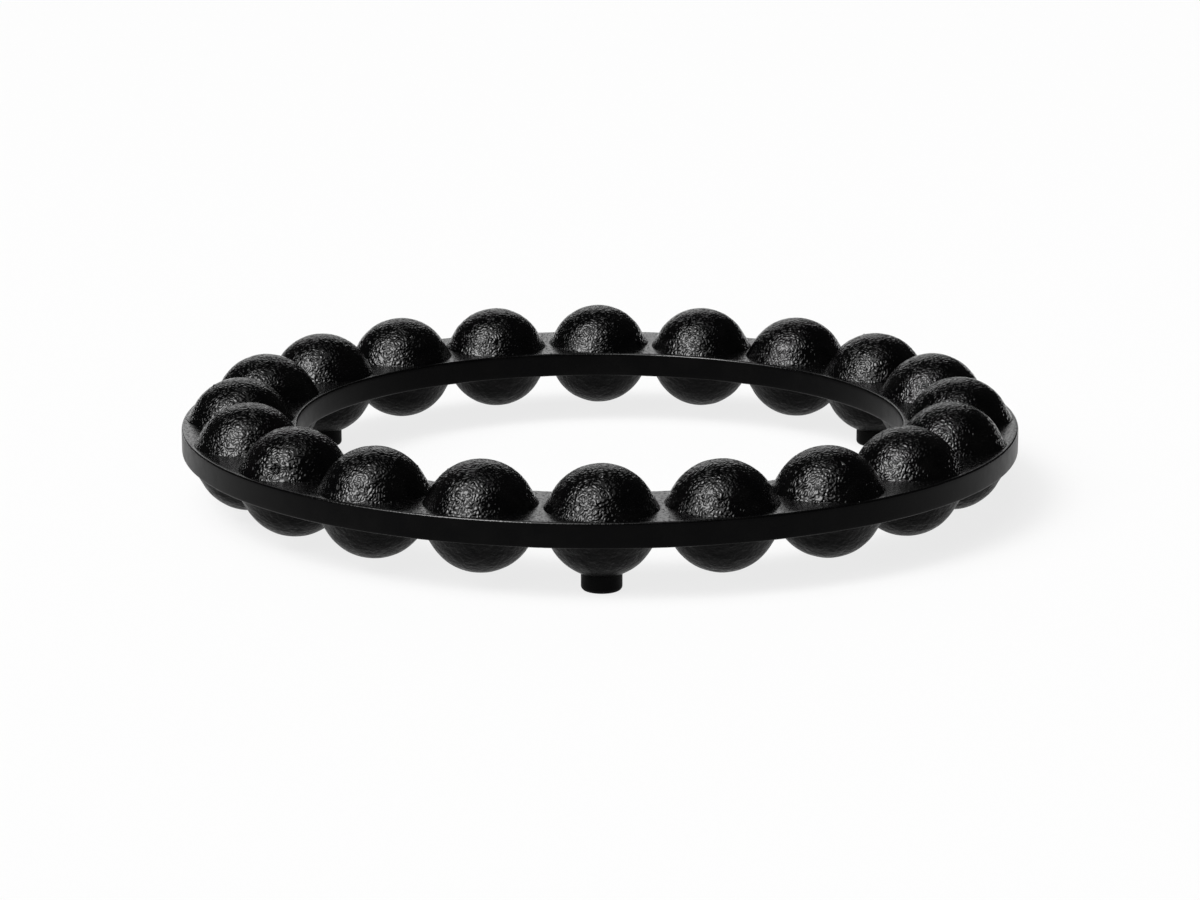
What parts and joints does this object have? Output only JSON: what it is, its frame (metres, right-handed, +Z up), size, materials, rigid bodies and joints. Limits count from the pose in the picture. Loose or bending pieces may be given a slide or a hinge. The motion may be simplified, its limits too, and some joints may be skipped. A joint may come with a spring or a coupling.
{
  "type": "trivet",
  "caption": "Round cast trivet: a flat open ring with a circle of balls that stand out above and below it, resting on rubber plug feet.",
  "frame": {"origin": "on the table, under the middle of the ring", "axes": "+Z up from the table, -Y towards the viewer and through the front foot, +X to the viewer's right"},
  "size_m": [0.2, 0.2, 0.0284],
  "materials": {
    "black_iron": "black seasoned or enamelled, finely wrinkled and half glossy on the balls, satin on the ring",
    "black_rubber": "smooth, matte"
  },
  "bodies": {
    "root": {"cast_ring": "black_iron", "front_foot": "black_rubber", "rear_right_foot": "black_rubber", "rear_left_foot": "black_rubber"}
  },
  "joints": []
}
